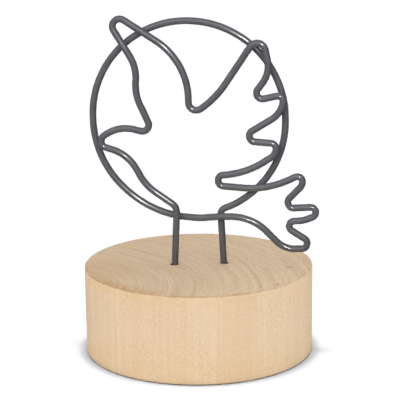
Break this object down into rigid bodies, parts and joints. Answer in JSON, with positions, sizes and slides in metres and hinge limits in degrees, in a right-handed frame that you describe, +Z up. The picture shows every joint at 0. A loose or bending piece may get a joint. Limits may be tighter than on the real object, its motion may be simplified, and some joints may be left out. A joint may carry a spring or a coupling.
{
  "type": "photo block holder",
  "caption": "Free-standing photo holder: a round wooden block with a bent wire ring behind a wire dove outline; a photo or card slips between them.",
  "frame": {"origin": "centre of the block's flat underside, on the table", "axes": "+Z up along the block's axis, +X to the right seen from the front, towards the dove's tail, +Y to the back, from the dove to the ring"},
  "size_m": [0.0822, 0.08, 0.1181],
  "materials": {
    "wood": "bare sanded hardwood, end grain on top",
    "wire_coat": "dark grey satin powder coat on steel wire",
    "glue": "cured glue"
  },
  "bodies": {
    "stand": {"wood_block": "wood", "left_leg": "wire_coat", "ring_wire": "wire_coat", "left_glue": "glue", "right_glue": "glue"},
    "front_loop": {"dove_loop": "wire_coat"}
  },
  "joints": [
    {"name": "clip_flex", "type": "hinge", "parent": "stand", "child": "front_loop", "pos_m": [0.011, -0.00135, 0.048], "axis": [1, 0, 0], "range_deg": [0, 4], "stiffness_Nm_per_rad": 4.4}
  ]
}
